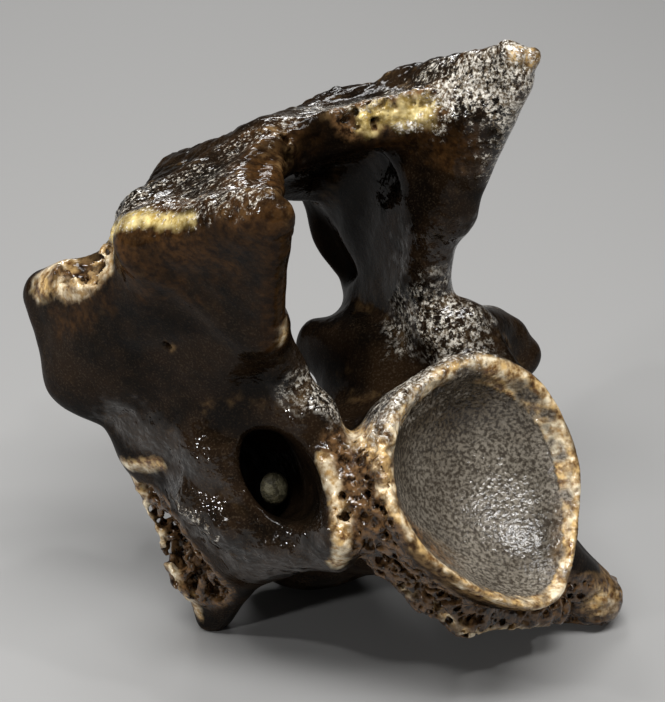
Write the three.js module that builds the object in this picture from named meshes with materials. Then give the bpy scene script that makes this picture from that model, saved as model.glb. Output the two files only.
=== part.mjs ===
// A fossil reindeer neck vertebra, life size, lying as it rests on a table.
// The bone is one solid body. It is shaped in its own frame, in millimetres:
// x to the animal's right, y towards its head, z towards its back,
// with the origin in the middle of the vertebral body.
import * as THREE from 'three';
import { edgeTable, triTable } from 'three/addons/objects/MarchingCubes.js';

// The vertebral body
const rimY = -22;                // the cup's rim, at the tail end
const rimTilt = 7;               // degrees the rim leans, so that the cup faces a little upwards
const bodyHalfWidth = 17;
const bodyTop = 15.5;
const bodyBottom = 21.6;
const cupDepth = 10.5;
const cupRim = 2.2;              // width of the rim round the cup
const headCentre = [0, 22, 0.6]; // the round head, at the head end
const headRadius = 13.5;

// The canal for the spinal cord: narrowest inside, flared at both ends
const canalFloor = 16.5;
const canalTop = 39.8;
const canalHalfWidth = 9.2;
const canalNarrowY = -1;
const tailFlare = 0.016;
const headFlare = 0.085;

// How it lies: these directions in the bone's own frame point up and to the viewer's right.
const up = [0.101, -0.536, 0.837];
const right = [0.702, -0.562, -0.438];
const restHeight = 24.6;         // from the middle of the vertebral body down to the table
const restFlat = 0.3;            // worn flat where it touches the table

// The pebble caught in the left wing's opening
const pebbleSize = [4.4, 2.6, 4.8];
const pebbleCentre = [-17.2, 1.5, 10.2];
const pebbleLean = -36;          // degrees, from upright

const meshStep = 2.6;            // size of the bone's facets
const deg = Math.PI / 180;

// Solids as signed distances: each of these returns a function of x, y and z that is negative inside.
const mix = (a, b, t) => a + (b - a) * t;
const clamp = (v, lo, hi) => Math.min(hi, Math.max(lo, v));

function lump([cx, cy, cz], [rx, ry, rz]) {
  return (x, y, z) => {
    const u = (x - cx) / rx, v = (y - cy) / ry, w = (z - cz) / rz;
    const k = Math.sqrt(u * u + v * v + w * w);
    const g = Math.sqrt((u / rx) ** 2 + (v / ry) ** 2 + (w / rz) ** 2);
    return g < 1e-9 ? -Math.min(rx, ry, rz) : (k * (k - 1)) / g;
  };
}

function strut([ax, ay, az], [bx, by, bz], ra, rb = ra) {
  const dx = bx - ax, dy = by - ay, dz = bz - az, dd = dx * dx + dy * dy + dz * dz;
  return (x, y, z) => {
    const t = clamp(((x - ax) * dx + (y - ay) * dy + (z - az) * dz) / dd, 0, 1);
    return Math.hypot(x - ax - dx * t, y - ay - dy * t, z - az - dz * t) - mix(ra, rb, t);
  };
}

// A flat triangular plate with round edges, of thickness 2 r.
function plate(a, b, c, r) {
  const A = new THREE.Vector3(...a), B = new THREE.Vector3(...b), C = new THREE.Vector3(...c);
  const tri = new THREE.Triangle(A, B, C), p = new THREE.Vector3(), q = new THREE.Vector3();
  return (x, y, z) => tri.closestPointToPoint(p.set(x, y, z), q).distanceTo(p) - r;
}

function halfSpace([px, py, pz], normal) {
  const [nx, ny, nz] = new THREE.Vector3(...normal).normalize().toArray();
  return (x, y, z) => (x - px) * nx + (y - py) * ny + (z - pz) * nz;
}

function join(k, ...shapes) {
  return (x, y, z) => {
    let d = shapes[0](x, y, z);
    for (let i = 1; i < shapes.length; i++) {
      const e = shapes[i](x, y, z), h = Math.max(k - Math.abs(d - e), 0) / k;
      d = Math.min(d, e) - (h * h * k) / 4;
    }
    return d;
  };
}

function carve(k, body, ...cutters) {
  return (x, y, z) => {
    let d = body(x, y, z);
    for (const cutter of cutters) {
      const e = -cutter(x, y, z), h = Math.max(k - Math.abs(d - e), 0) / k;
      d = Math.max(d, e) + (h * h * k) / 4;
    }
    return d;
  };
}

const mirrored = (shape) => (x, y, z) => shape(-x, y, z);
const bothSides = (shape) => (x, y, z) => shape(Math.abs(x), y, z);

// Vertebral body: egg-shaped at the cup's end, waisted, with a round head at the other end.
function egg([cx, cy, cz], rx, ry, top, bottom, taper) {
  return (x, y, z) => {
    const rz = z > cz ? top : bottom, w = (z - cz) / rz;
    const narrow = w < 0 ? 1 + taper * w * w : 1;
    return lump([0, cy, cz], [rx, ry, rz])((x - cx) * narrow, y, z);
  };
}

function vertebralBody() {
  const flare = egg([0, rimY + 1, 2], bodyHalfWidth, 22, bodyTop, bodyBottom, 0.5);
  const rimPlane = halfSpace([0, rimY, 0], [0, -Math.cos(rimTilt * deg), Math.sin(rimTilt * deg)]);
  const tailEnd = carve(3, flare, (x, y, z) => -rimPlane(x, y, z));
  const waist = strut([0, -10, 0], [0, 20, 2], 12.5);
  const head = lump(headCentre, [headRadius, headRadius + 1.5, headRadius]);
  const keel = plate([0, -16, -13], [0, 14, -9], [0, 0, -13], 2.2);
  return join(3, tailEnd, waist, head, keel);
}

function cup() {
  const behind = 8, reach = cupDepth + behind, widen = Math.sqrt(1 - (behind / reach) ** 2);
  return egg([0, rimY - behind, 2], (bodyHalfWidth - cupRim) / widen, reach,
    (bodyTop - cupRim) / widen, (bodyBottom - cupRim) / widen, 0.5);
}

function canal() {
  return (x, y, z) => {
    const s = y - canalNarrowY, flare = s > 0 ? headFlare : tailFlare;
    const upper = clamp((z - 25) / 4, 0, 1), ahead = clamp(s / 12, 0, 1);
    const spread = flare * s * s * (s > 0 ? upper : 1) - 1.8 * ahead * (1 - upper);
    const halfWidth = canalHalfWidth + 13 * Math.tanh(spread / 13);
    const top = canalTop + (s > 0 ? 0.035 : 0.057) * s * s;
    const half = (top - canalFloor) / 2, middle = (top + canalFloor) / 2;
    const u = Math.abs(x / halfWidth) ** 2.4 + Math.abs((z - middle) / half) ** 2.4;
    return (u ** (1 / 2.4) - 1) * Math.min(halfWidth, half);
  };
}

// Arch: side walls, roof, and the four articular processes.
function arch() {
  const wall = join(3,
    plate([14.5, -10, 26], [23.5, 17, 24], [18, -14, 34], 3.6),
    plate([23.5, 17, 24], [18, -14, 34], [25.5, 18, 33], 3.6),
    plate([18, -14, 34], [25.5, 18, 33], [22.5, -12, 48], 3.6),
    plate([25.5, 18, 33], [22.5, -12, 48], [24.5, 12, 46], 3.6));
  const roof = join(3,
    plate([0, -10, 52.5], [19, -30, 46], [18, -3, 50.8], 3.5),
    plate([0, -10, 52.5], [18, -3, 50.8], [0, 14, 53], 3.5),
    plate([18, -3, 50.8], [0, 14, 53], [19, 12, 45], 3.5));
  const facet = plate([22, -35, 46.2], [19.2, -17.8, 33.3], [25.3, -14, 50], 2.5);
  const rim = join(3, strut([22, -35, 47.6], [25.5, -12, 49.5], 1.9, 3.2),
    strut([25.5, -12, 49.5], [18, -3, 51], 3.2));
  const prezyg = join(3,
    plate([26, 17.5, 47.8], [24, 2, 46.5], [27, 20, 36], 3.8),
    plate([27, 20, 36], [24, 2, 46.5], [23.5, 8, 34], 3.5));
  return bothSides(join(4, wall, roof, facet, rim, prezyg));
}

// The right facet keeps its sharp point; the left one is worn.
function rightPoint() {
  return join(1, strut([21.8, -37.5, 51], [24, -20, 50.5], 1.4, 2.6),
    strut([21.8, -37.5, 51], [24.8, -39, 48.8], 1.4, 1.5),
    plate([21.8, -37, 50.6], [24.8, -38.6, 48.6], [22.5, -30, 44], 1.5));
}

function spine() {
  return plate([0, -8, 53], [0, 14, 54], [0, 4, 51], 2.6);
}

// Transverse processes: the left one is broken to a stub, the right one keeps its lower plate.
function leftOpening() {
  const tube = lump([18.4, 0, 12.9], [4.6, 60, 6.9]);
  return mirrored((x, y, z) => tube(x + 0.45 * Math.min(y + 2, 0), y, z));
}

function rightOpening() {
  return lump([17, 12, 12], [4, 17, 6]);
}

function transverseRoot() {
  return join(4,
    lump([15, 7, 10], [12, 15, 13]),
    plate([14, -9, 17], [15, -11, 5], [14, 0, 10], 4),
    plate([10, 6, 19], [12, 17, 21], [20, 16, 21.5], 4.4),
    plate([14, -8, 19.5], [19, -2, 23], [22, 8, 24], 3.6),
    plate([21.5, 3, 19], [21.5, 21, 20], [21.5, 23, 2], 4),
    plate([21.5, 3, 19], [21.5, 23, 2], [21.5, 5, 4], 4),
    plate([18, -12, 12], [19, -12, 3], [16, 0, 3], 2),
    plate([19, -12, 3], [18, -7, 0], [21, 5, 4], 2.6));
}

function leftProcess() {
  const tip = plate([21, 28, -6.8], [21.5, 22, 6], [20, 6, 3], 2.6);
  const pit = lump([26, 15, 5], [4.5, 6, 6.5]);
  const band = strut([18, -19, 15], [19, -18, -2], 3.4);
  return mirrored(carve(1, join(3, transverseRoot(), tip), pit, band));
}

function rightProcess() {
  const lowerPlate = join(3,
    plate([10, -12, -12], [20.2, -5, -30], [7, 6.5, -22.9], 2.7),
    plate([10, -12, -12], [20.2, -5, -30], [19, 4, -2], 2.7),
    plate([20.2, -5, -30], [7, 6.5, -22.9], [19, 18, -16.8], 2.7),
    plate([20.2, -5, -30], [19, 18, -16.8], [22, 18, 0], 2.7),
    plate([20.2, -5, -30], [22, 18, 0], [19, 4, -2], 2.7));
  const underWall = join(2,
    plate([-12, -9, -5], [-8.5, -9, -12], [-2, -5, -8], 2.6),
    plate([-8.5, -9, -12], [-4.6, -8.5, -18], [4, -6, -10], 2.8),
    plate([-4.6, -8.5, -18], [4, -6, -10], [10, -8, -25.5], 2.8));
  const outward = join(2,
    plate([16, -11, 17], [24, -6, 13.5], [28.3, -5, 7.5], 2),
    plate([16, -11, 17], [28.3, -5, 7.5], [18, -8, 4], 2.2),
    plate([24, -6, 13.5], [28.3, -5, 7.5], [24, 8, 11], 2.4));
  return join(3, carve(2, transverseRoot(), rightOpening()), lowerPlate, underWall, outward);
}

function boneShape() {
  const whole = join(4, vertebralBody(), arch(), spine(), leftProcess(), rightProcess());
  const solid = join(3, whole, rightPoint());
  const brokenTop = lump([-24, 6, 51], [3, 5.5, 3.5]);
  const hollowed = carve(2.5, solid, cup(), canal(), leftOpening(), brokenTop);
  const [ux, uy, uz] = new THREE.Vector3(...up).normalize().toArray();
  return carve(0.5, hollowed, (x, y, z) => x * ux + y * uy + z * uz + restHeight);
}

// Turns a shape into a closed triangle mesh by marching cubes.
function polygonize(shape, low, high, step) {
  const n = low.map((v, i) => Math.ceil((high[i] - v) / step) + 1);
  const values = new Float32Array(n[0] * n[1] * n[2]);
  const at = (i, j, k) => (k * n[1] + j) * n[0] + i;
  const place = (i, axis) => low[axis] + i * step;
  for (let k = 0; k < n[2]; k++)
    for (let j = 0; j < n[1]; j++)
      for (let i = 0; i < n[0]; i++)
        values[at(i, j, k)] = shape(place(i, 0), place(j, 1), place(k, 2)) || 1e-6;
  const corner = [
    [0, 0, 0], [1, 0, 0], [1, 1, 0], [0, 1, 0],
    [0, 0, 1], [1, 0, 1], [1, 1, 1], [0, 1, 1]];
  const ends = [
    [0, 1], [1, 2], [2, 3], [3, 0], [4, 5], [5, 6],
    [6, 7], [7, 4], [0, 4], [1, 5], [2, 6], [3, 7]];
  const points = [], faces = [], known = new Map();
  for (let k = 0; k < n[2] - 1; k++)
    for (let j = 0; j < n[1] - 1; j++)
      for (let i = 0; i < n[0] - 1; i++) {
        const ids = corner.map(([a, b, c]) => at(i + a, j + b, k + c));
        let bits = 0;
        ids.forEach((id, c) => { if (values[id] < 0) bits |= 1 << c; });
        if (!edgeTable[bits]) continue;
        const vertex = (edge) => {
          const [a, b] = ends[edge];
          const key = Math.min(ids[a], ids[b]) * 1e7 + Math.max(ids[a], ids[b]);
          if (!known.has(key)) {
            const t = clamp(values[ids[a]] / (values[ids[a]] - values[ids[b]]), 0.02, 0.98);
            const from = corner[a], to = corner[b];
            points.push([place(i + mix(from[0], to[0], t), 0), place(j + mix(from[1], to[1], t), 1),
              place(k + mix(from[2], to[2], t), 2)]);
            known.set(key, points.length - 1);
          }
          return known.get(key);
        };
        for (let t = bits * 16; triTable[t] >= 0; t += 3)
          faces.push([vertex(triTable[t]), vertex(triTable[t + 2]), vertex(triTable[t + 1])]);
      }
  return { points, faces };
}

// Evens out the mesh, then draws every corner back onto the surface.
function settle({ points, faces }, shape, step) {
  const near = points.map(() => new Set());
  for (const [a, b, c] of faces) {
    near[a].add(b).add(c);
    near[b].add(a).add(c);
    near[c].add(a).add(b);
  }
  const e = 0.05;
  const pull = (p) => {
    for (let n = 0; n < 2; n++) {
      const d = shape(...p);
      const g = [0, 1, 2].map((i) => {
        const q = [...p];
        q[i] += e;
        return (shape(...q) - d) / e;
      });
      const gg = Math.max(g[0] ** 2 + g[1] ** 2 + g[2] ** 2, 0.2);
      const reach = clamp(d / gg, -0.3 * step, 0.3 * step);
      p = p.map((v, i) => v - g[i] * reach);
    }
    return p;
  };
  for (let round = 0; round < 3; round++) {
    const middle = points.map((p, i) => {
      const m = [0, 0, 0];
      for (const j of near[i]) for (let c = 0; c < 3; c++) m[c] += points[j][c] / near[i].size;
      return m;
    });
    points = points.map((p, i) => pull(p.map((v, c) => mix(v, middle[i][c], 0.5))));
  }
  return { points, faces };
}

// Turns a shape from the bone's own frame to the way it lies on the table.
function layDown(geometry) {
  const z = new THREE.Vector3(...up).normalize();
  const x = new THREE.Vector3(...right);
  x.addScaledVector(z, -z.dot(x)).normalize();
  const y = new THREE.Vector3().crossVectors(z, x);
  geometry.applyMatrix4(new THREE.Matrix4().makeBasis(x, y, z).transpose());
  geometry.translate(0, 0, restHeight);
  return geometry;
}

function boneGeometry() {
  const shape = boneShape();
  const mesh = settle(polygonize(shape, [-42, -50, -42], [42, 44, 66], meshStep), shape, meshStep);
  const geometry = new THREE.BufferGeometry();
  geometry.setAttribute('position', new THREE.Float32BufferAttribute(mesh.points.flat(), 3));
  geometry.setIndex(mesh.faces.flat());
  return geometry;
}

// A flat pebble, lodged against the inner wall of the left wing's opening.
function pebbleGeometry() {
  const geometry = new THREE.IcosahedronGeometry(1, 3);
  geometry.scale(pebbleSize[0] / 2, pebbleSize[1] / 2, pebbleSize[2] / 2);
  geometry.rotateY(-pebbleLean * deg);
  geometry.translate(...pebbleCentre);
  return geometry;
}

function mesh(name, geometry, color, roughness) {
  const made = new THREE.Mesh(geometry, new THREE.MeshStandardMaterial({ color, roughness }));
  made.name = name;
  return made;
}

const bone = layDown(boneGeometry()), pebble = layDown(pebbleGeometry());
const position = bone.attributes.position;
for (let i = 0; i < position.count; i++) if (position.getZ(i) < restFlat) position.setZ(i, 0);
bone.computeBoundingBox();
const middle = bone.boundingBox.getCenter(new THREE.Vector3());
for (const geometry of [bone, pebble]) geometry.translate(-middle.x, -middle.y, 0);

const group = new THREE.Group();
group.add(mesh('vertebra', bone, 0x2a1d14, 0.35), mesh('lodged_pebble', pebble, 0x8a8670, 0.6));

export default group;
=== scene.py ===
import math

import bpy
import numpy as np
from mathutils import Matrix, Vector


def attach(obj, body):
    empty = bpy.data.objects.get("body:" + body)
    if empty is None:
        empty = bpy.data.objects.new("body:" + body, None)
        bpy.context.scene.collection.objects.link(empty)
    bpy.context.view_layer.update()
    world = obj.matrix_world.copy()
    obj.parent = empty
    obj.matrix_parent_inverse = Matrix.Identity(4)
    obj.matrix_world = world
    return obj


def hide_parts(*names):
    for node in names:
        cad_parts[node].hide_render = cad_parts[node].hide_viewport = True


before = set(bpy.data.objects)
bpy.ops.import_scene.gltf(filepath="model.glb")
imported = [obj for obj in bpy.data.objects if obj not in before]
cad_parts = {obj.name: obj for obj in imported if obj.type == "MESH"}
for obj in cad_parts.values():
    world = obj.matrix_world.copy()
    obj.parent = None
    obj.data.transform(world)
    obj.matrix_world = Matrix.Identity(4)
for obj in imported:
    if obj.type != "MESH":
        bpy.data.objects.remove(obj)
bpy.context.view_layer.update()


# How the bone lies
# A neck vertebra that rests on its round head and its two broken wings. It is shaped in its own frame,
# in millimetres (x to the animal's right, y to its head, z to its back), then laid on the table.
metres_per_mm = 0.001
up = np.array([0.101, -0.536, 0.837])
right = np.array([0.702, -0.562, -0.438])
rest_height = 24.6
body_over_table = np.array([9.18943, -11.35507, rest_height])

table_z = up / np.linalg.norm(up)
table_x = right - table_z * (right @ table_z)
table_x /= np.linalg.norm(table_x)
bone_to_table = np.stack([table_x, np.cross(table_z, table_x), table_z])


def lay_down(points):
    return (points @ bone_to_table.T + body_over_table) * metres_per_mm


# The vertebral body
# The bone's solid block, egg-shaped where the cup is and waisted in the middle, with a round head at the
# other end and a keel below. Each shape is a distance in millimetres, negative inside the bone.
rim_y = -22.0
rim_tilt = math.radians(7)
body_half_width, body_top, body_bottom = 17.0, 15.5, 21.6
body_half_length, body_middle_z, body_taper = 22, 2, 0.5
head_centre, head_radius, head_longer = (0, 22, 0.6), 13.5, 1.5
waist_radius, keel_radius = 12.5, 2.2


def lump(centre, radii):
    centre, radii = np.float32(centre), np.float32(radii)

    def distance(p):
        q = (p - centre) / radii
        k = np.sqrt((q * q).sum(1))
        g = np.sqrt(((q / radii) ** 2).sum(1))
        return k * (k - 1) / np.maximum(g, 1e-6)
    return distance


def strut(start, end, r0, r1=None):
    start, along = np.float32(start), np.float32(end) - np.float32(start)
    r1 = r0 if r1 is None else r1

    def distance(p):
        t = np.clip((p - start) @ along / (along @ along), 0, 1)
        gap = p - start - t[:, None] * along
        return np.sqrt((gap * gap).sum(1)) - (r0 + (r1 - r0) * t)
    return distance


# A flat triangle of bone with round edges, 2 r thick.
def plate(a, b, c, r):
    a, b, c = np.float32(a), np.float32(b), np.float32(c)
    face = np.cross(b - a, a - c)
    sides = [(s, e, np.cross(e - s, face)) for s, e in ((a, b), (b, c), (c, a))]

    def distance(p):
        over, near = 0, None
        for start, end, out in sides:
            q = p - start
            over = over + np.sign(q @ out)
            edge = end - start
            gap = q - np.clip(q @ edge / (edge @ edge), 0, 1)[:, None] * edge
            gap = (gap * gap).sum(1)
            near = gap if near is None else np.minimum(near, gap)
        level = ((p - a) @ face) ** 2 / (face @ face)
        return np.sqrt(np.where(over < 2, near, level)) - r
    return distance


# Where two shapes meet, the fillet is how wide their corner is rounded, in millimetres.
def add_on(d, e, fillet):
    h = np.maximum(fillet - np.abs(d - e), 0) / fillet
    return np.minimum(d, e) - h * h * fillet / 4


def cut(d, cutter, fillet):
    e = -cutter
    h = np.maximum(fillet - np.abs(d - e), 0) / fillet
    return np.maximum(d, e) + h * h * fillet / 4


def join(fillet, *shapes):
    def distance(p):
        d = shapes[0](p)
        for shape in shapes[1:]:
            d = add_on(d, shape(p), fillet)
        return d
    return distance


def egg(centre, half_width, half_length, top, bottom, taper):
    cx, cy, cz = centre
    upper = lump((0, cy, cz), (half_width, half_length, top))
    lower = lump((0, cy, cz), (half_width, half_length, bottom))

    def distance(p):
        w = np.minimum((p[:, 2] - cz) / bottom, 0)
        q = p.copy()
        q[:, 0] = (p[:, 0] - cx) * (1 + taper * w * w)
        return np.where(p[:, 2] > cz, upper(q), lower(q))
    return distance


def beyond_rim(p):
    return (rim_y - p[:, 1]) * math.cos(rim_tilt) + p[:, 2] * math.sin(rim_tilt)


body_flare = egg(
    (0, rim_y + 1, body_middle_z), body_half_width, body_half_length, body_top, body_bottom, body_taper)
vertebral_body = join(
    3,
    lambda p: cut(body_flare(p), -beyond_rim(p), 1.6),
    strut((0, -10, 0), (0, 20, 2), waist_radius),
    lump(head_centre, (head_radius, head_radius + head_longer, head_radius)),
    plate((0, -16, -13), (0, 14, -9), (0, 0, -13), keel_radius))


# The cup
# The hollow at the tail end of the body, where the next bone's head sat. It was lined with gristle, so it
# is smooth, inside a rim that is worn down to tan bone. It is an egg whose middle is behind the rim.
cup_depth, cup_rim, behind = 10.5, 1.6, 8.0
widen = math.sqrt(1 - (behind / (cup_depth + behind)) ** 2)
cup = egg(
    (0, rim_y - behind, body_middle_z), (body_half_width - cup_rim) / widen, cup_depth + behind,
    (body_top - cup_rim) / widen, (body_bottom - cup_rim) / widen, body_taper)


# The canal for the spinal cord
# A tunnel between the body and the arch, narrowest inside and flared at both ends. One corner of its
# right wall is cut back towards the head end.
canal_floor, canal_top, canal_half_width, canal_narrow_y = 16.5, 39.8, 9.2, -1.0
tail_flare, head_flare, widest_flare = 0.016, 0.085, 13
tail_rise, head_rise = 0.057, 0.035
flare_from_z, flare_full_over = 25, 4
floor_narrows_by, floor_narrows_over = 1.8, 12
squareness = 2.4


def canal(p):
    s = p[:, 1] - canal_narrow_y
    to_head = s > 0
    upper = np.clip((p[:, 2] - flare_from_z) / flare_full_over, 0, 1)
    ahead = np.clip(s / floor_narrows_over, 0, 1)
    spread = np.where(to_head, head_flare * upper, tail_flare) * s * s
    spread = spread - floor_narrows_by * ahead * (1 - upper)
    half_width = canal_half_width + widest_flare * np.tanh(spread / widest_flare)
    top = canal_top + np.where(to_head, head_rise, tail_rise) * s * s
    half, middle = (top - canal_floor) / 2, (top + canal_floor) / 2
    u = np.abs(p[:, 0] / half_width) ** squareness + np.abs((p[:, 2] - middle) / half) ** squareness
    return (u ** (1 / squareness) - 1) * np.minimum(half_width, half)


canal_corner = strut((6, 3.4, 29.5), (24, 29, 25.8), 3.1)


# The arch
# Two side walls and a roof over the canal, with four articular processes. The two at the tail end have
# broad smooth facets on their undersides, and a low worn ridge runs along the roof.
wall_radius, roof_radius = 3.6, 3.5
point_tip, point_end, point_radius = (21.9, -37, 50.5), (24.2, -38.4, 48.6), 0.8


# Plates along a bent strip, whose corners are given from side to side.
def sheet(r, *corners):
    return [plate(a, b, c, r) for a, b, c in zip(corners, corners[1:], corners[2:])]


def both_sides(shape):
    return lambda p: shape(np.concatenate([np.abs(p[:, :1]), p[:, 1:]], 1))


arch_walls = join(3, *sheet(
    wall_radius,
    (14.5, -10, 26), (23.5, 17, 24), (18, -14, 34), (25.5, 18, 33), (22.5, -12, 48), (24.5, 12, 46)))
arch_roof = join(3, *sheet(
    roof_radius, (19, -30, 46), (0, -10, 52.5), (18, -3, 50.8), (0, 14, 53), (19, 12, 45)))
tail_facet = plate((22, -35, 46.2), (19.2, -17.8, 33.3), (25.3, -14, 50), 2.5)
facet_rim = join(
    3, strut((22, -35, 47.6), (25.5, -12, 49.5), 1.7, 3.2), strut((25.5, -12, 49.5), (18, -3, 51), 3.2))
head_facet = join(
    3,
    plate((26, 17.5, 47.8), (24, 2, 46.5), (27, 20, 36), 3.8),
    plate((27, 20, 36), (24, 2, 46.5), (23.5, 8, 34), 3.5))
arch = both_sides(join(4, arch_walls, arch_roof, tail_facet, facet_rim, head_facet))
spine = plate((0, -8, 53), (0, 14, 54), (0, 4, 51), 2.6)

# The right facet keeps its sharp point. The left side's top is worn down towards the head end.
right_point = join(
    1, strut(point_tip, (24, -20, 50.5), point_radius, 2.6),
    plate(point_tip, point_end, (22.5, -30, 44), point_radius),
    plate(point_tip, point_end, (24, -30, 50), point_radius))
worn_top = lump((-24, 6, 51), (3, 5.5, 3.5))

# Low webs of bone that stiffen the corners, and the ridge below the left wing's opening.
right_facet_web = plate((17.5, -14, 48), (19.5, -28, 44.5), (18.3, -16, 35), 2.5)
left_roof_web = plate((-3, -14.5, 52), (-20, -31, 46.5), (-16, -18, 51), 1.5)
left_facet_web = sheet(1.6, (-21.5, -14.5, 37), (-25.5, -12.5, 46), (-24.5, -1, 39.5), (-26, 0, 45))
right_wing_web = plate((16.5, -12.5, 18), (26, -7.5, 12), (21, -3, 17), 1.9)
opening_ridge = (
    strut((-26.6, 6.5, 14), (-25.8, 3, 9.5), 2.0),
    strut((-25.8, 3, 9.5), (-22, -2.5, 3), 2.0))
webs = join(2, right_facet_web, left_roof_web, *left_facet_web, right_wing_web, *opening_ridge)


# The wings
# The transverse processes, each with an opening for an artery through its root. The left one is broken
# off to a stub with a hollow in it, and the right one keeps its lower plate, a flange and a ragged wall.
outer_wall_radius, lower_plate_radius = 4, 2.7
opening_slant, opening_bend_y = 0.45, -2
wing_root = join(
    4,
    lump((15, 7, 10), (12, 15, 13)),
    plate((14, -9, 17), (15, -11, 5), (14, 0, 10), 4),
    plate((10, 6, 19), (12, 17, 21), (20, 16, 21.5), 4.4),
    plate((14, -8, 19.5), (19, -2, 23), (22, 8, 24), 3.6),
    *sheet(outer_wall_radius, (21.5, 21, 20), (21.5, 3, 19), (21.5, 23, 2), (21.5, 5, 4)),
    plate((18, -12, 12), (19, -12, 3), (16, 0, 3), 2),
    plate((19, -12, 3), (18, -7, 0), (21, 5, 4), 2.6))

right_opening = lump((17, 12, 12), (4, 17, 6))
lower_tip = (20.2, -5, -30)
by_body, under_body, by_root = (10, -12, -12), (7, 6.5, -22.9), (19, 4, -2)
head_low, head_high = (19, 18, -16.8), (22, 18, 0)
lower_plate = join(3, *(plate(lower_tip, a, b, lower_plate_radius) for a, b in (
    (by_body, under_body), (by_body, by_root), (under_body, head_low), (head_low, head_high),
    (head_high, by_root))))
ragged_wall = join(
    2,
    plate((-12, -9, -5), (-8.5, -9, -12), (-2, -5, -8), 2.6),
    *sheet(2.8, (-8.5, -9, -12), (-4.6, -8.5, -18), (4, -6, -10), (10, -8, -25.5)))
flange_top, flange_corner, flange_edge = (16, -11, 18), (24, -6.5, 14.5), (27, -6, 8)
right_wing = join(
    3,
    lambda p: cut(wing_root(p), right_opening(p), 2),
    lower_plate,
    ragged_wall,
    plate(flange_top, flange_corner, flange_edge, 1.7),
    plate(flange_top, flange_edge, (18, -8, 4), 2),
    plate(flange_corner, flange_edge, (23, 6, 11), 2))

left_tip = plate((21, 28, -6.8), (21.5, 22, 6), (20, 6, 3), 2.6)
left_hollow = lump((28, 19, 6), (4.2, 6, 8))
left_break = strut((18, -19, 15), (19, -18, -2), 3.4)
artery_tunnel = lump((18.4, 0, 12.9), (4.6, 60, 6.9))


def mirrored(shape):
    return lambda p: shape(p * np.float32([-1, 1, 1]))


@mirrored
def left_wing(p):
    return cut(cut(join(3, wing_root, left_tip)(p), left_hollow(p), 1), left_break(p), 1)


@mirrored
def artery_opening(p):
    q = p.copy()
    q[:, 0] += opening_slant * np.minimum(q[:, 1] - opening_bend_y, 0)
    return artery_tunnel(q)


# The breaks
# Where the outer skin of the bone is lost, the spongy bone inside shows as a mesh of little struts round
# open pores. The rest of the skin has the faint swells of real bone.
swell, ripple = 0.3, 0.07
crust_bump, crust_grit, crust_fade = 0.28, 0.16, 2
relief_reach, pore_reach, table_fillet = 7, 1.2, 0.4
break_wobble, strut_wobble, pore_fillet = 0.7, 0.3, 0.25
hole_wobble, hole_fillet = 0.25, 0.3


def noise(p, size, seed):
    n, shift = 32, 500
    lattice = np.random.default_rng(seed).uniform(-1, 1, (n, n, n)).astype(np.float32)
    q = p / np.float32(size) + shift
    i = np.floor(q).astype(np.int32)
    f = q - i
    f = f * f * (3 - 2 * f)
    value = 0
    for a in (0, 1):
        for b in (0, 1):
            for c in (0, 1):
                weight = (f[:, 0] if a else 1 - f[:, 0]) * (f[:, 1] if b else 1 - f[:, 1])
                weight = weight * (f[:, 2] if c else 1 - f[:, 2])
                value = value + weight * lattice[(i[:, 0] + a) % n, (i[:, 1] + b) % n, (i[:, 2] + c) % n]
    return value


def pores(p, size, radius, seed):
    n, shift = 16, 320
    jitter = np.random.default_rng(seed).uniform(0.1, 0.9, (n, n, n, 3)).astype(np.float32)
    q = p / np.float32(size) + shift
    i = np.floor(q).astype(np.int32)
    nearest = np.full(len(p), 9, np.float32)
    for a in (-1, 0, 1):
        for b in (-1, 0, 1):
            for c in (-1, 0, 1):
                j = i + np.int32([a, b, c])
                gap = j + jitter[j[:, 0] % n, j[:, 1] % n, j[:, 2] % n] - q
                nearest = np.minimum(nearest, (gap * gap).sum(1))
    return np.sqrt(nearest) * size - radius


stub_break = mirrored(lump((26, 20, 6), (6.5, 7.5, 10.5)))
top_break = mirrored(lump((26, 4, 50), (3.6, 7, 3.4)))
band_break = join(
    2, strut((-13.5, -17, 13), (-17.5, -16.5, 3), 3.8), strut((-17.5, -16.5, 3), (-10, -13, -12), 3.4))
wall_break = join(
    2, strut((-13, -10, -6), (-5, -10, -18), 4.6), strut((-5, -10, -18), (12, -8, -27), 4.6),
    strut((12, -8, -27), (21, -5, -31), 3.5))
roof_break = join(
    1, strut((9.5, -16.8, 51.4), (12, -19, 50.6), 2), strut((12, -19, 50.6), (17, -25.5, 48.6), 1.5))

# Each break, the distance between its pores, their radius, and a number that sets where they fall.
breaks = [
    (stub_break, 2.1, 1.3, 3),
    (top_break, 1.9, 1.1, 4),
    (band_break, 1.6, 0.72, 5),
    (wall_break, 1.5, 0.66, 6),
    (roof_break, 1.2, 0.52, 7),
]

# Single holes: two in the roof, two in the left side's broken top, the dark end of the roof's break, two
# small openings for blood vessels, one in the spongy band, and one over the hollow in the stub.
single_holes = join(
    0.1,
    lump((-1.2, -15.2, 53), (1.2, 2.6, 0.8)),
    lump((-2.3, -16, 50.6), (0.9, 2.4, 0.9)),
    lump((-28, 0.8, 48.3), (1.6, 1.6, 1.5)),
    lump((-27, 4.5, 50), (1.6, 2.6, 1.2)),
    lump((9.2, -17.2, 51.6), (1.7, 1.8, 0.7)),
    lump((-25.3, -4.2, 35.9), (1.6, 0.55, 0.55)),
    lump((-16.6, -5.4, 9.1), (1, 1, 0.5)),
    lump((-12.5, -17, 13), (0.8, 2, 1.6)),
    lump((-25.5, 19.5, 16.5), (2, 2.4, 1.2)))

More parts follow.
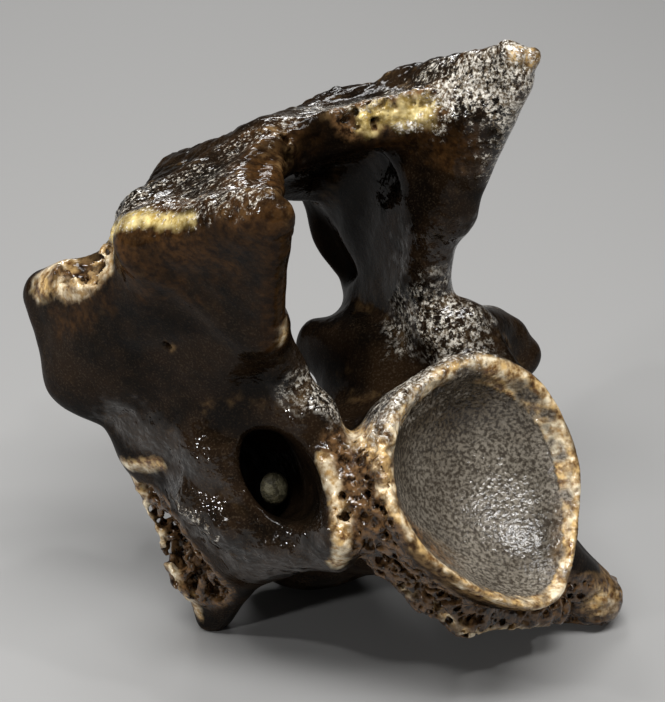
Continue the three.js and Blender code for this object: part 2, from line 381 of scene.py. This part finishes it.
# Skin that is rough without being open: over the facets' upper rims, along the roof, over the cup, and
# on the ridge below the left wing's opening.
crusty_skin = join(
    2,
    both_sides(strut((24, -36, 50), (24, -8, 54), 3)),
    strut((20, -3, 55), (-20, -3, 55), 5),
    strut((8, 6, 55), (-8, 12, 56), 6),
    strut((0, -16, 53), (22, -36, 51), 4),
    strut((0, -16, 53), (-21, -33, 48), 4),
    strut((-12, -18, 14), (12, -17, 17), 3),
    strut((-28.5, 8, 15), (-27.5, 3, 8), 2),
    strut((-27.5, 3, 8), (-23, -3, 1.5), 2))


def bone(p):
    solid = join(3, join(4, vertebral_body, arch, spine, left_wing, right_wing), right_point)(p)
    for cutter, fillet in ((cup, 1.6), (canal, 2), (artery_opening, 1.6), (worn_top, 1.5)):
        solid = cut(solid, cutter(p), fillet)
    solid = cut(add_on(solid, webs(p), 3), canal_corner(p), 1.5)
    near = np.abs(solid) < relief_reach
    q = p[near]
    d = solid[near]
    d = d + swell * noise(q, 6.5, 1) + ripple * noise(q, 2.1, 2)
    crusty = np.clip(1 - crusty_skin(q) / crust_fade, 0, 1)
    d = d + crusty * (crust_bump * noise(q, 1.7, 9) + crust_grit * noise(q, 0.85, 10))
    for zone, spacing, radius, seed in breaks:
        inside = zone(q)
        worn = inside < pore_reach
        if worn.any():
            r = q[worn]
            edge = inside[worn] + break_wobble * noise(r, 2.2, seed + 20)
            hole = np.maximum(pores(r, spacing, radius, seed), edge)
            d[worn] = cut(d[worn] + strut_wobble * noise(r, 1.2, seed + 10), hole, pore_fillet)
    d = cut(d, single_holes(q) + hole_wobble * noise(q, 0.9, 11), hole_fillet)
    solid[near] = d
    return cut(solid, p @ np.float32(table_z) + rest_height, table_fillet)


# The skin of the bone
# The shape is sampled on a fine grid near its surface only, and a closed skin of small four-sided faces is
# drawn through it and pulled onto the true surface.
grid_step = 0.42
coarse, cell_reach, relief_height = 4, 1.05, 0.4
low, high = np.float32([-34, -43, -36]), np.float32([34, 41, 62])
slope_step, longest_pull = np.float32(0.06), 0.3


def sampled(shape, p, chunk=250000):
    return np.concatenate([shape(p[i:i + chunk]) for i in range(0, len(p), chunk)])


def grid_values():
    counts = np.ceil((high - low) / (grid_step * coarse)).astype(int)
    axes = [low[a] + (np.arange(counts[a]) + 0.5) * grid_step * coarse for a in range(3)]
    centres = np.stack(np.meshgrid(*axes, indexing="ij"), -1).reshape(-1, 3).astype(np.float32)
    values = sampled(bone, centres).reshape(counts)
    close = np.abs(values) < grid_step * coarse * cell_reach + relief_height
    for a in range(3):
        values, close = np.repeat(values, coarse, a), np.repeat(close, coarse, a)
    where = np.argwhere(close)
    values[close] = sampled(bone, low + (where.astype(np.float32) + 0.5) * np.float32(grid_step))
    return values


def draw_skin(values):
    inside = values < 0
    corners = [(a, b, c) for a in (0, 1) for b in (0, 1) for c in (0, 1)]
    size = np.array(values.shape) - 1

    def shifted(a, b, c):
        return inside[a:a + size[0], b:b + size[1], c:c + size[2]]
    count = sum(shifted(*c).astype(np.int8) for c in corners)
    mixed = (count > 0) & (count < 8)
    cells = np.argwhere(mixed)
    index = np.full(mixed.shape, -1, np.int32)
    index[mixed] = np.arange(len(cells))
    total, hits = np.zeros((len(cells), 3), np.float32), np.zeros(len(cells), np.float32)
    for start in corners:
        for axis in range(3):
            if start[axis]:
                continue
            end = tuple(v + (i == axis) for i, v in enumerate(start))
            v0 = values[tuple((cells + start).T)]
            v1 = values[tuple((cells + end).T)]
            crossed = (v0 < 0) != (v1 < 0)
            t = np.where(crossed, v0 / np.where(crossed, v0 - v1, 1), 0)
            along = np.float32(end) - np.float32(start)
            total += crossed[:, None] * (np.float32(start) + t[:, None] * along)
            hits += crossed
    points = low + (cells + 0.5 + total / hits[:, None]).astype(np.float32) * np.float32(grid_step)
    quads = []
    for axis in range(3):
        b, c = (axis + 1) % 3, (axis + 2) % 3
        first = np.moveaxis(inside, (axis, b, c), (0, 1, 2))
        cell = np.moveaxis(index, (axis, b, c), (0, 1, 2))
        here, there = first[:-1, 1:-1, 1:-1], first[1:, 1:-1, 1:-1]
        for leaving in (True, False):
            i, j, k = np.nonzero((here & ~there) if leaving else (~here & there))
            ring = [cell[i, j, k], cell[i, j + 1, k], cell[i, j + 1, k + 1], cell[i, j, k + 1]]
            quads.append(np.stack(ring if leaving else ring[::-1], 1))
    return points, np.concatenate(quads)


# Loose grains that the pores cut free are dropped.
def keep_largest(points, quads):
    label = np.arange(len(points))
    while True:
        least = label[quads].min(1)
        new = label.copy()
        for c in range(4):
            np.minimum.at(new, quads[:, c], least)
        new = new[new]
        if (new == label).all():
            break
        label = new
    names, counts = np.unique(label, return_counts=True)
    kept = label == names[counts.argmax()]
    renumber = np.cumsum(kept) - 1
    return points[kept], renumber[quads[kept[quads[:, 0]]]]


# The points on the true surface, and the way it faces at each of them.
def pull_to_surface(points):
    d = sampled(bone, points)
    axes = np.eye(3, dtype=np.float32)
    slope = np.stack([sampled(bone, points + slope_step * axis) - d for axis in axes], 1) / slope_step
    steep = np.maximum((slope * slope).sum(1), 0.25)
    pull = np.clip(d / steep, -longest_pull * grid_step, longest_pull * grid_step)
    return points - slope * pull[:, None], slope / np.sqrt(steep)[:, None]


points, quads = keep_largest(*draw_skin(grid_values()))
points, facing = pull_to_surface(points)
laid = lay_down(points)
laid[:, 2] = np.maximum(laid[:, 2], 0)
skin = bpy.data.meshes.new("vertebra_bone")
skin.vertices.add(len(points))
skin.vertices.foreach_set("co", laid.astype(np.float32).ravel())
skin.loops.add(len(quads) * 4)
skin.loops.foreach_set("vertex_index", quads.astype(np.int32).ravel())
skin.polygons.add(len(quads))
skin.polygons.foreach_set("loop_start", np.arange(0, len(quads) * 4, 4, dtype=np.int32))
skin.polygons.foreach_set("use_smooth", np.ones(len(quads), bool))
skin.update(calc_edges=True)
skin.validate()
vertebra = bpy.data.objects.new("vertebra_bone", skin)
bpy.context.scene.collection.objects.link(vertebra)


# Wear, stains and painted light
# Worn edges are tan, broken spongy bone is brown to yellow, minerals leave pale crusts, and some of the
# dark skin is stained red. The pale crusts also carry painted glints, and the cup's top and the canal get
# painted shade. Each finish is laid
# on in strokes: places on the bone, a width and a strength.
stroke_fill, raggedness = 1.3, 0.45
finishes = {
    "tan": [
        ([(-10, -12.1, 14.7), (-12, -16.5, 12.8), (-13.1, -19.8, 10.8)], 2.0, 1),
        ([(-17.5, -14.1, 13), (-19.7, -14.8, 5.8), (-21.4, -13.6, 1.5), (-20.3, -9.1, -1.1)], 1.3, 1),
        ([(-12.5, -9.5, -8.5), (-9.5, -9.5, -14), (-6, -9.5, -20.5), (0, -9, -22.8)], 0.9, 1),
        ([(0, -9, -22.8), (9, -8, -28.3), (18, -8, -31.5)], 0.7, 1),
        ([(-30, 12, 50), (-28, 14, 49.5), (-24.5, 11, 51.5), (-24.5, 3, 52), (-27, -3, 50.5)], 1.9, 1),
        ([(-28.5, 9, 48.5), (-28, 2, 48), (-27, -3, 49)], 1.6, 1),
        ([(-27.6, 17.5, 21.6), (-26.4, 10.4, 20.2)], 1.2, 1),
        ([(-25.5, 21.3, 18), (-25.5, 23.6, 8.4), (-25.7, 24.3, -0.6), (-23.6, 27.1, -4.9)], 1.1, 1),
        ([(18, -9.1, -29.5), (21, -6, -31)], 2.4, 1),
        ([(21.6, -39, 50), (24, -38.5, 48)], 1.2, 1),
        ([(-18.3, -19.6, 31.1), (-18.8, -21, 32)], 1.2, 1),
    ],
    "yellow": [
        ([(10.5, -18.3, 50.4), (13, -20.6, 49.4), (16, -24, 48.3)], 2.1, 1),
        ([(-23.1, -1.4, 52), (-27.2, -12, 52.8), (-26.8, -15.1, 52.6)], 1.5, 1),
        ([(-26.8, -15.1, 52.6), (-26.8, -21.4, 51.2), (-26.4, -24.5, 50.8)], 1.2, 1),
    ],
    # The roof's pale crust, partly painted glints, laid on only where the skin faces up.
    "roof_crust_and_glints": [
        ([(-20, -2, 56), (-23, -12, 54.5), (-24, -27, 51.5), (-23, -34, 49)], 6, 0.7),
        ([(-13, -8, 55), (-19, -24, 51)], 4.5, 0.5),
        ([(-6, -12, 54), (0, -14, 54), (10, -14, 54)], 4, 0.6),
        ([(10, -12, 54), (20, -22, 53)], 4, 1),
    ],
    # Pale mineral crust that also carries painted glints; the strokes over the right point and on the
    # ridge below the left wing's opening are painted highlights.
    "crust_and_glints": [
        ([(19, -27, 49), (22, -37, 49), (22, -34, 44)], 5, 1.5),
        ([(23, -37, 43), (21, -28, 38)], 4, 1),
        ([(11, -19.5, 49), (13.8, -19.8, 47.6), (16.2, -22.6, 46), (19, -28.5, 43.5)], 0.8, 1.6),
        ([(18, -25.5, 48.5), (20, -30, 49)], 2.6, 1),
        ([(10, -17, 53), (20, -30, 51.5)], 2.2, 1),
        ([(-12, -18, 15), (-4, -19, 17.2), (5, -18.6, 17.6), (13, -18, 15.5)], 4, 1.2),
        ([(21, -9, 19), (25, -7, 15), (28.5, -6, 9)], 1.3, 1),
        ([(-28.8, 7.5, 15), (-28.4, 5, 12), (-27.8, 3, 9)], 1.1, 1),
    ],
    "wet": [
        ([(-20, -11, 6), (-21, -6, 1), (-24, 2, 3), (-26, 4, 10), (-27, 8, 16)], 5, 1),
        ([(-15, -13, 22), (-12, -13, 18), (-11, -14, 15)], 4, 1),
        ([(13, -12, 22), (17, -14, 28)], 6, 1),
        ([(-27, 12, 28), (-27, 6, 22), (-24, 0, 16)], 4, 1),
    ],
    "grey": [
        ([(-14.9, -12.7, 23.1), (-12.4, -12.3, 20.4), (-11.3, -12.3, 17.6)], 2.6, 1),
        ([(11.1, -5.5, 21.7), (11.6, -11.3, 22), (13.1, -13.9, 17.6)], 4.5, 1),
        ([(-6, -16, 16.5), (4.9, -14, 16.6), (12.6, -13.7, 17.1)], 5, 1),
    ],
    "red": [
        ([(-25.8, -35.2, 48.2), (-24.5, -34.1, 44.5), (-21.8, -28.9, 38.9), (-18.3, -19.6, 31.1)], 2.6, 1),
        ([(-26, -14, 50), (-25.5, -25, 48.5), (-24, -33, 46)], 8, 1),
        ([(-4, -14, 54), (0, -15, 52), (-14, -24, 50), (-19, -29, 48)], 4.5, 1),
        ([(21, -34, 51.5), (22, -30, 52)], 2, 1),
        ([(12, -19, 47), (18, -26, 42)], 4, 1),
        ([(-27, -2, 46), (-28, 10, 44)], 3, 1),
    ],
}


def stroke(p, places, width):
    places = np.float32(places)
    nearest = np.full(len(p), 1e9, np.float32)
    for start, end in zip(places, places[1:]):
        along = end - start
        t = np.clip((p - start) @ along / max(along @ along, 1e-6), 0, 1)
        gap = p - start - t[:, None] * along
        nearest = np.minimum(nearest, (gap * gap).sum(1))
    ragged = noise(p, 1.6, 31) + 0.6 * noise(p, 0.7, 32)
    return np.clip(stroke_fill - (np.sqrt(nearest) + raggedness * width * ragged) / width, 0, 1)


def laid_on(strokes):
    strength = np.zeros(len(points), np.float32)
    for places, width, weight in strokes:
        strength = np.maximum(strength, stroke(points, places, width) * weight)
    return strength


def layer(name, strength):
    attribute = skin.attributes.new(name, "FLOAT", "POINT")
    attribute.data.foreach_set("value", strength.astype(np.float32))


# The cup's rim is worn through to tan bone all round, in a ragged ring.
ring_beyond_cup, rim_edge, rim_reach = 0.6, 0.8, 2


def worn_rim():
    ragged = noise(points, 4.5, 36) + noise(points, 1.9, 33) * 0.9 + noise(points, 0.8, 34) * 0.7
    off_ring = np.abs(cup(points) - ring_beyond_cup + 0.8 * ragged)
    ring = np.clip(1.3 + 0.6 * noise(points, 3.4, 37) - off_ring * 1.1, 0, 1)
    return ring * (np.abs(beyond_rim(points) + rim_edge) < rim_reach)


layer("tan", np.maximum(laid_on(finishes["tan"]), worn_rim()))
for name in ("yellow", "wet", "grey", "red"):
    layer(name, laid_on(finishes[name]))

# The roof's crust and its painted glints stay where the skin faces up, towards the light.
faces_up_to_light = np.clip(facing[:, 2] / 0.3 - 1, 0, 1)
layer("crust_and_glints", np.maximum(laid_on(finishes["crust_and_glints"]), laid_on(finishes["roof_crust_and_glints"]) * faces_up_to_light))

# Sharp edges are worn: there the surface curves away within a short way under the skin.
worn_depth = 1.6
under_skin = sampled(bone, points - worn_depth * facing) + worn_depth
worn_edge = under_skin / 0.9 - 0.5 + 0.3 * noise(points, 2.6, 38) + 0.25 * noise(points, 0.9, 39)
layer("worn", np.clip(worn_edge, 0, 1) * np.clip(artery_opening(points) / 2 - 1, 0, 1))

spongy = np.zeros(len(points), np.float32)
for zone, spacing, radius, seed in breaks:
    spongy = np.maximum(spongy, np.clip(1.1 - (zone(points) + 0.5 * noise(points, 1.5, 35)) / 1.5, 0, 1))
layer("spongy", spongy)
layer("cup", np.clip(-cup(points) / 0.6 + 0.9, 0, 1) * (beyond_rim(points) < 1))
# The top of the cup is darkened with painted shade.
layer("cup_top_painted_shade", np.clip((points[:, 2] - body_middle_z + 4 * noise(points, 4, 40)) / 8, 0, 1))
# The canal and the wings' artery openings are darkened with painted shade, and their sealer is dulled.
canal_shade_mask = np.clip(1.2 - canal(points) / 1.2, 0, 1) * np.clip((points[:, 1] - rim_y) / 6, 0, 1)
artery_opening_shade_mask = np.clip(1 - artery_opening(points) / 0.8, 0, 1)
layer("canal", np.maximum(canal_shade_mask, artery_opening_shade_mask))


# Sealed bone
# The finish on the whole bone: dark brown from the ground it lay in, under a clear sealer that is thick
# and sparkling on the rough places and in the cup, and thin on the plain dark skin.
base_roughness, sealer_roughness, sealer_index = 0.45, 0.09, 1.5
least_sealer, canal_dullness = 0.2, 0.97
bump_height = 0.001
cloud_size, patch_size, fine_size, grit_size, glint_fleck_size = 0.007, 0.0032, 0.0011, 0.0005, 0.0003
crackle_size, grey_spot_size = 0.0007, 0.0009
swell_size, grain_size, crinkle_size = 0.0024, 0.0007, 0.0006
worn_strength, canal_shade_strength = 0.75, 0.65

# The dark and the light end of each colour.
skin_browns = (0.0042, 0.0028, 0.0018, 1), (0.018, 0.0100, 0.0050, 1)
stain_reds = (0.020, 0.0085, 0.003, 1), (0.088, 0.040, 0.012, 1)
worn_browns = (0.045, 0.020, 0.007, 1), (0.27, 0.165, 0.070, 1)
# The cup's greys carry a painted sheen at its floor, and its browns are painted shade at its top.
cup_greys_and_sheen = (0.060, 0.049, 0.037, 1), (0.26, 0.23, 0.185, 1)
cup_shade_browns = (0.016, 0.010, 0.006, 1), (0.095, 0.070, 0.042, 1)
spongy_browns = (0.014, 0.0065, 0.003, 1), (0.16, 0.085, 0.035, 1)
rim_creams = (0.42, 0.26, 0.10, 1), (0.95, 0.83, 0.60, 1)
rim_rusts = (0.12, 0.050, 0.014, 1), (0.72, 0.48, 0.20, 1)
break_yellows = (0.40, 0.27, 0.07, 1), (0.86, 0.70, 0.32, 1)
# The crust whites are partly painted glints.
crust_and_glint_whites = (0.15, 0.115, 0.075, 1), (0.76, 0.71, 0.62, 1)
# The canal black is painted shade, and the fleck brown stands for painted glints.
glint_brown, canal_painted_shade = (0.045, 0.031, 0.019, 1), (0.0028, 0.0020, 0.0014, 1)


def shader(material):
    material.use_nodes = True
    tree = material.node_tree
    return tree, tree.nodes["Principled BSDF"]


# Inputs are given by name, or as i0, i1 and so on by number.
def add(tree, kind, settings=None, **inputs):
    node = tree.nodes.new(kind)
    for key, value in (settings or {}).items():
        setattr(node, key, value)
    for key, value in inputs.items():
        by_number = key[0] == "i" and key[1:].isdigit()
        socket = node.inputs[int(key[1:]) if by_number else key]
        if isinstance(value, bpy.types.NodeSocket):
            tree.links.new(value, socket)
        else:
            socket.default_value = value
    return node


def number(tree, operation, a, b=0.0, c=0.0, clamp=False):
    settings = {"operation": operation, "use_clamp": clamp}
    return add(tree, "ShaderNodeMath", settings, i0=a, i1=b, i2=c).outputs[0]


def times(tree, a, b):
    return number(tree, "MULTIPLY", a, b)


def scaled(tree, a, scale, plus):
    return number(tree, "MULTIPLY_ADD", a, scale, plus)


def larger(tree, a, b):
    return number(tree, "MAXIMUM", a, b)


def blend(tree, amount, a, b):
    return add(tree, "ShaderNodeMix", {"data_type": "RGBA"}, i0=amount, i6=a, i7=b).outputs[2]


def mottle(tree, place, size, detail, rough):
    cloudy = add(tree, "ShaderNodeTexNoise", Vector=place, Scale=1 / size, Detail=detail, Roughness=rough)
    return cloudy.outputs[0]


def span(tree, value, low_edge, high_edge):
    settings = {"interpolation_type": "SMOOTHSTEP"}
    return add(tree, "ShaderNodeMapRange", settings, i0=value, i1=low_edge, i2=high_edge).outputs[0]


def speckle(tree, place, size, detail, low_edge, high_edge, rough=0.6):
    return span(tree, mottle(tree, place, size, detail, rough), low_edge, high_edge)


bone_finish = bpy.data.materials.new("sealed_bone")
tree, surface = shader(bone_finish)
place = add(tree, "ShaderNodeTexCoord").outputs["Object"]
layers = ("tan", "yellow", "crust_and_glints", "grey", "red", "spongy", "cup", "cup_top_painted_shade", "canal", "wet", "worn")
marks = {n: add(tree, "ShaderNodeAttribute", {"attribute_name": n}).outputs["Fac"] for n in layers}
cloud = speckle(tree, place, cloud_size, 5, 0.35, 0.65)
fine = speckle(tree, place, fine_size, 6, 0.35, 0.65)
grit = speckle(tree, place, grit_size, 3, 0.4, 0.6)

# The dark skin with its flecks, which are painted glints, its red stains and its worn edges.
glint_flecks = times(tree, speckle(tree, place, glint_fleck_size, 3, 0.53, 0.64), scaled(tree, cloud, 0.5, 0.25))
dark = blend(tree, glint_flecks, blend(tree, cloud, *skin_browns), glint_brown)
stained = times(tree, marks["red"], scaled(tree, cloud, 0.6, 0.3))
colour = blend(tree, stained, dark, blend(tree, fine, *stain_reds))
colour = blend(tree, times(tree, marks["worn"], worn_strength), colour, blend(tree, fine, *worn_browns))

# The cup, paler at its floor with a painted sheen and darker at its top with painted shade, and the canal
# darkened with painted shade.
cup_grain = speckle(tree, place, grit_size, 3, 0.38, 0.64)
cup_floor_and_sheen, shaded_cup_top = blend(tree, cup_grain, *cup_greys_and_sheen), blend(tree, cup_grain, *cup_shade_browns)
colour = blend(tree, marks["cup"], colour, blend(tree, marks["cup_top_painted_shade"], cup_floor_and_sheen, shaded_cup_top))
colour = blend(tree, times(tree, marks["canal"], canal_shade_strength), colour, canal_painted_shade)

# The breaks and the worn rims, and the crusts over them, whose pale spots are partly painted glints.
cream_or_rust = speckle(tree, place, patch_size, 3, 0.4, 0.58)
tan_colour = blend(tree, cream_or_rust, blend(tree, fine, *rim_creams), blend(tree, fine, *rim_rusts))
colour = blend(tree, marks["spongy"], colour, blend(tree, fine, *spongy_browns))
colour = blend(tree, marks["tan"], colour, tan_colour)
colour = blend(tree, marks["yellow"], colour, blend(tree, fine, *break_yellows))
crackle = scaled(tree, marks["crust_and_glints"], 0.11, mottle(tree, place, crackle_size, 5, 0.75))
crust_and_glint_amount = number(tree, "MULTIPLY", marks["crust_and_glints"], 2.2, clamp=True)
crust_and_glint_spots = times(tree, crust_and_glint_amount, span(tree, crackle, 0.57, 0.70))
grey_spots = times(tree, marks["grey"], speckle(tree, place, grey_spot_size, 5, 0.47, 0.55, 0.75))
colour = blend(tree, larger(tree, crust_and_glint_spots, grey_spots), colour, blend(tree, grit, *crust_and_glint_whites))
tree.links.new(colour, surface.inputs["Base Color"])

# The sealer.
bumpy = larger(tree, marks["spongy"], larger(tree, marks["tan"], marks["crust_and_glints"]))
glossy = larger(tree, larger(tree, bumpy, marks["cup"]), marks["wet"])
sealer = number(tree, "MULTIPLY_ADD", glossy, 1 - least_sealer, least_sealer, clamp=True)
sealer = times(tree, sealer, scaled(tree, marks["canal"], -canal_dullness, 1.0))
tree.links.new(sealer, surface.inputs["Coat Weight"])
surface.inputs["Roughness"].default_value = base_roughness
surface.inputs["Coat Roughness"].default_value = sealer_roughness
surface.inputs["Coat IOR"].default_value = sealer_index
surface.inputs["Specular IOR Level"].default_value = 0.0

# Its unevenness: soft swells, a grain, and the crinkled floor of the cup.
soft_swell = mottle(tree, place, swell_size, 2, 0.5)
grain = mottle(tree, place, grain_size, 1.5, 0.5)
crinkle = mottle(tree, place, crinkle_size, 2, 0.6)
ripples = scaled(tree, marks["wet"], 0.55, scaled(tree, bumpy, 0.25, 0.16))
relief = scaled(tree, grain, scaled(tree, glossy, 0.09, 0.05), times(tree, soft_swell, ripples))
relief = scaled(tree, crinkle, times(tree, marks["cup"], 0.16), relief)
bump = add(tree, "ShaderNodeBump", Strength=1.0, Distance=bump_height, Height=relief)
tree.links.new(bump.outputs[0], surface.inputs["Normal"])
tree.links.new(bump.outputs[0], surface.inputs["Coat Normal"])
skin.materials.append(bone_finish)
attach(vertebra, "root")
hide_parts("vertebra")


# The pebble
# A small grey-green stone caught in the left wing's opening, smooth from the river, with pale veins. It is
# the CAD stone as it is, in a dull finish.
stone_greens = (0.035, 0.030, 0.014, 1), (0.085, 0.072, 0.036, 1)
vein_green = (0.13, 0.115, 0.065, 1)
pebble_finish = bpy.data.materials.new("river_pebble")
tree, surface = shader(pebble_finish)
place = add(tree, "ShaderNodeTexCoord").outputs["Object"]
stone_grain = speckle(tree, place, 0.0009, 5, 0.35, 0.65)
veins = speckle(tree, place, 0.0016, 2, 0.56, 0.60)
stone = blend(tree, veins, blend(tree, stone_grain, *stone_greens), vein_green)
tree.links.new(stone, surface.inputs["Base Color"])
surface.inputs["Roughness"].default_value = 0.6
bump = add(tree, "ShaderNodeBump", Strength=0.6, Distance=0.0002, Height=stone_grain)
tree.links.new(bump.outputs[0], surface.inputs["Normal"])
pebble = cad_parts["lodged_pebble"]
pebble.data.materials.clear()
pebble.data.materials.append(pebble_finish)
for face in pebble.data.polygons:
    face.use_smooth = True


# The table
# A plain pale sheet of matt paper that the bone lies on. It is wide, and curves up far behind the bone to
# make the backdrop.
half_width, front_y, bend_y, bend_radius, sheet_top = 4, -3, 1.6, 0.8, 3.5
bend = [(bend_y + bend_radius * math.sin(a), bend_radius - bend_radius * math.cos(a))
        for a in np.linspace(0.2, 1.57, 8)]
rows = [(front_y, 0), (bend_y, 0), *bend, (bend_y + bend_radius, sheet_top)]
sheet_mesh = bpy.data.meshes.new("table_sheet")
sheet_mesh.from_pydata(
    [(x, y, z) for y, z in rows for x in (-half_width, half_width)], [],
    [(2 * i, 2 * i + 1, 2 * i + 3, 2 * i + 2) for i in range(len(rows) - 1)])
table = bpy.data.objects.new("table_sheet", sheet_mesh)
bpy.context.scene.collection.objects.link(table)
paper = bpy.data.materials.new("pale_paper")
tree, surface = shader(paper)
surface.inputs["Base Color"].default_value = (0.33, 0.326, 0.32, 1)
surface.inputs["Roughness"].default_value = 0.8
sheet_mesh.materials.append(paper)


# Light
# A wide lamp in front and over the bone, one overhead, one low behind, and three small ones at its sides
# that give the sealer its highlights. The world adds a little even light.
lamp_aim = (0, 0, 0.04)


def lamp(name, place, size, power):
    light = bpy.data.lights.new(name, "AREA")
    light.shape = "RECTANGLE"
    light.size, light.size_y, light.energy = size[0], size[1], power
    holder = bpy.data.objects.new(name, light)
    holder.location = place
    holder.rotation_euler = (Vector(lamp_aim) - Vector(place)).to_track_quat("-Z", "Y").to_euler()
    bpy.context.scene.collection.objects.link(holder)


lamp("overhead_lamp", (-0.10, 0.16, 0.52), (0.18, 0.14), 0.78)
lamp("front_lamp", (0.02, -0.20, 0.58), (0.46, 0.12), 3.9)
lamp("left_lamp", (-0.42, -0.16, 0.44), (0.03, 0.03), 0.52)
lamp("low_left_lamp", (-0.50, -0.38, 0.24), (0.04, 0.04), 0.98)
lamp("right_lamp", (0.34, -0.10, 0.50), (0.03, 0.03), 0.39)
lamp("back_lamp", (-0.08, 0.62, 0.26), (0.20, 0.08), 0.78)
world = bpy.data.worlds.new("studio")
bpy.context.scene.world = world
world.use_nodes = True
even_light = world.node_tree.nodes["Background"]
even_light.inputs["Color"].default_value = (1, 1, 1, 1)
even_light.inputs["Strength"].default_value = 0.06


# The camera
# It looks at the tail end and the left side of the bone, from about 30 degrees above the table, through a
# long lens. Its place and direction are in the bone's own frame.
camera_place = np.array([-154.915, -225.892, 62.239])
camera_direction = (0.562, 0.814, -0.143)
film_width, focal_pixels, image_width_pixels = 36, 1932, 665

lens = bpy.data.cameras.new("camera")
lens.sensor_fit = "HORIZONTAL"
lens.sensor_width = film_width
lens.lens = film_width * focal_pixels / image_width_pixels
camera = bpy.data.objects.new("camera", lens)
camera.location = lay_down(camera_place)
camera.rotation_euler = Vector(bone_to_table @ camera_direction).to_track_quat("-Z", "Y").to_euler()
bpy.context.scene.collection.objects.link(camera)
bpy.context.scene.camera = camera
bpy.context.scene.view_settings.view_transform = "Standard"
